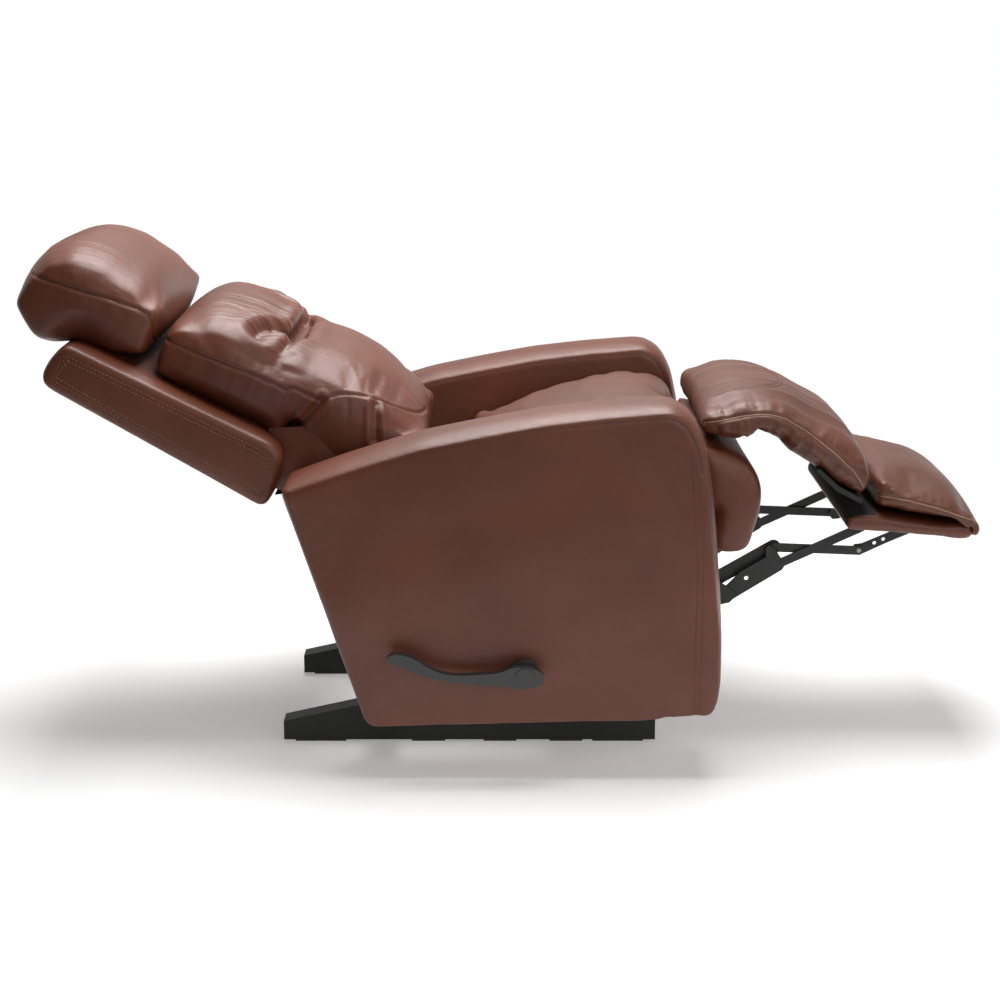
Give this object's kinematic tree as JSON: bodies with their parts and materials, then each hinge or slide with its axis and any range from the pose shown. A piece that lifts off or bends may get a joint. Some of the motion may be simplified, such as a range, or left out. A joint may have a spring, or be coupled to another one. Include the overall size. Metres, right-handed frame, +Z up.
{
  "type": "recliner armchair",
  "caption": "Rocker recliner armchair in padded leather, laid back with its legrest raised on a folding steel linkage and a side lever.",
  "frame": {"origin": "on the floor under the middle of the base, on the chair's middle plane", "axes": "+Z up, the chair faces -Y, +X is the sitter's left"},
  "size_m": [0.931, 1.678, 0.912],
  "materials": {
    "leather": "semi-gloss, fine grain",
    "steel": "black satin enamel",
    "bright_steel": "zinc plated",
    "wood": "unfinished hardwood",
    "black_wood": "black stain, satin",
    "lever_plastic": "fine satin"
  },
  "bodies": {
    "base": {"left_runner": "black_wood", "right_runner": "black_wood", "front_strap": "steel", "centre_strap": "steel", "rear_strap": "steel", "floor_glides": "steel", "base_ties": "wood", "rocker_springs": "steel"},
    "chair_body": {"left_arm_frame": "wood", "right_arm_frame": "wood", "left_arm_cover": "leather", "right_arm_cover": "leather", "front_cross_rail": "wood", "rear_cross_rail": "wood", "left_rocker_cam": "wood", "right_rocker_cam": "wood", "left_hinge_plate": "steel", "right_hinge_plate": "steel", "back_hinge_pins": "bright_steel"},
    "back": {"back_frame": "wood", "outer_back": "leather", "head_pillow": "leather", "upper_back_cushion": "leather", "lumbar_cushion": "leather", "left_back_bracket": "steel", "right_back_bracket": "steel"},
    "seat": {"seat_frame": "wood", "seat_cushion": "leather", "seat_apron": "leather", "seat_front_roll": "leather", "seat_springs": "steel", "left_inner_plate": "steel", "right_inner_plate": "steel", "left_outer_plate": "steel", "right_outer_plate": "steel", "link_pivot_pins": "bright_steel", "mechanism_tubes": "bright_steel"},
    "calf_rest": {"calf_pad": "leather", "calf_board": "black_wood"},
    "footrest": {"foot_pad": "leather", "footboard": "leather", "left_foot_bracket": "steel", "right_foot_bracket": "steel", "foot_bracket_pins": "bright_steel"},
    "upper_links": {"left_upper_link": "steel", "right_upper_link": "steel"},
    "lower_links": {"left_lower_link": "steel", "right_lower_link": "steel"},
    "long_bars": {"left_long_bar": "steel", "right_long_bar": "steel"},
    "short_bars": {"left_short_bar": "steel", "right_short_bar": "steel"},
    "lever": {"lever_handle": "lever_plastic", "drive_shaft": "bright_steel", "lever_boss": "lever_plastic"}
  },
  "joints": [
    {"name": "rock", "type": "hinge", "parent": "base", "child": "chair_body", "pos_m": [0, 0, 0.075], "axis": [1, 0, 0], "range_deg": [-5, 5], "stiffness_Nm_per_rad": 1500, "springref_deg": 0.9, "deforming": ["rocker_springs"]},
    {"name": "back_recline", "type": "hinge", "parent": "chair_body", "child": "back", "pos_m": [0, 0.275, 0.418], "axis": [1, 0, 0], "range_deg": [0, 41]},
    {"name": "seat_tilt", "type": "hinge", "parent": "chair_body", "child": "seat", "pos_m": [0, -0.042, 0.197], "axis": [1, 0, 0], "range_deg": [0, 4.01]},
    {"name": "legrest_fold", "type": "hinge", "parent": "seat", "child": "calf_rest", "pos_m": [0, -0.431, 0.577], "axis": [1, 0, 0], "range_deg": [0, 46]},
    {"name": "foot_fold", "type": "hinge", "parent": "calf_rest", "child": "footrest", "pos_m": [0, -0.648, 0.445], "axis": [1, 0, 0], "range_deg": [0, 34.01]},
    {"name": "upper_link_swing", "type": "hinge", "parent": "seat", "child": "upper_links", "pos_m": [0, -0.3866, 0.2802], "axis": [1, 0, 0], "range_deg": [0, 114.21]},
    {"name": "lower_link_swing", "type": "hinge", "parent": "seat", "child": "lower_links", "pos_m": [0, -0.4179, 0.2589], "axis": [1, 0, 0], "range_deg": [0, 147.81]},
    {"name": "long_bar_swing", "type": "hinge", "parent": "footrest", "child": "long_bars", "pos_m": [0, -0.653, 0.339], "axis": [1, 0, 0], "range_deg": [-178.31, 0]},
    {"name": "short_bar_swing", "type": "hinge", "parent": "footrest", "child": "short_bars", "pos_m": [0, -0.655, 0.3835], "axis": [1, 0, 0], "range_deg": [-124.41, 0]},
    {"name": "lever_turn", "type": "hinge", "parent": "chair_body", "child": "lever", "pos_m": [0, -0.042, 0.197], "axis": [1, 0, 0], "range_deg": [0, 80.01]}
  ],
  "couplings": [
    {"joint": "seat_tilt", "follows": "back_recline", "ratio": 0.097561},
    {"joint": "foot_fold", "follows": "legrest_fold", "ratio": 0.73913},
    {"joint": "upper_link_swing", "follows": "legrest_fold", "ratio": 2.4826},
    {"joint": "lower_link_swing", "follows": "legrest_fold", "ratio": 3.213},
    {"joint": "long_bar_swing", "follows": "legrest_fold", "ratio": -3.8761},
    {"joint": "short_bar_swing", "follows": "legrest_fold", "ratio": -2.7043},
    {"joint": "lever_turn", "follows": "legrest_fold", "ratio": 1.7391}
  ]
}
